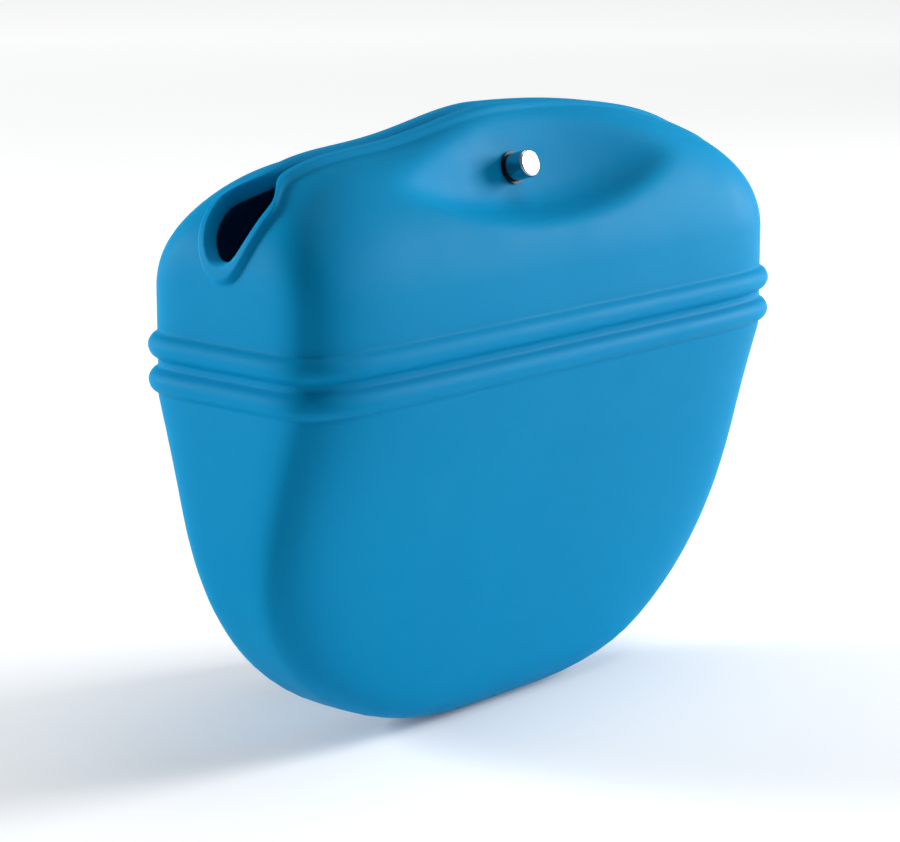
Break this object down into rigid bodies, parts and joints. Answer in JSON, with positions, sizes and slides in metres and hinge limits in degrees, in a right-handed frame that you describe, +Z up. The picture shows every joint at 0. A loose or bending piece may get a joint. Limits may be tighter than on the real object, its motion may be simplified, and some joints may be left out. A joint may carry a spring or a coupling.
{
  "type": "treat pouch",
  "caption": "Soft silicone treat pouch with two ribs round it, a domed top with a magnetic slit mouth, and a sprung belt clip on its back.",
  "frame": {"origin": "middle of the belt slot, between the clip's base and its arm, on the pouch's centre plane", "axes": "+X along the pouch's width, -Y out of its front, +Z up"},
  "size_m": [0.125, 0.0558, 0.105],
  "materials": {
    "blue_silicone": "matte moulded silicone",
    "chrome_stud": "polished chrome plate",
    "nickel_magnet": "nickel plate",
    "steel": "zinc plated",
    "spring_steel": "drawn wire",
    "black_abs": "moulded, fine spark texture"
  },
  "bodies": {
    "pouch": {"pouch_body": "blue_silicone", "back_stud": "chrome_stud", "back_washer": "steel", "back_magnet": "nickel_magnet", "back_keeper": "steel", "clip_base": "black_abs", "clip_pin": "steel", "clip_spring": "spring_steel", "clip_screws": "steel", "clip_washers": "steel"},
    "lip": {"front_lip": "blue_silicone", "front_stud": "chrome_stud", "front_washer": "steel", "front_magnet": "nickel_magnet", "front_keeper": "steel"},
    "arm": {"clip_arm": "black_abs"}
  },
  "joints": [
    {"name": "front_lip_flex", "type": "hinge", "parent": "pouch", "child": "lip", "pos_m": [0, -0.0484, 0.044], "axis": [1, 0, 0], "range_deg": [0, 30], "stiffness_Nm_per_rad": 0.2},
    {"name": "clip_arm_hinge", "type": "hinge", "parent": "pouch", "child": "arm", "pos_m": [0, 0, 0.024], "axis": [1, 0, 0], "range_deg": [0, 14], "stiffness_Nm_per_rad": 0.25, "springref_deg": -17.19, "deforming": ["clip_spring"]}
  ]
}
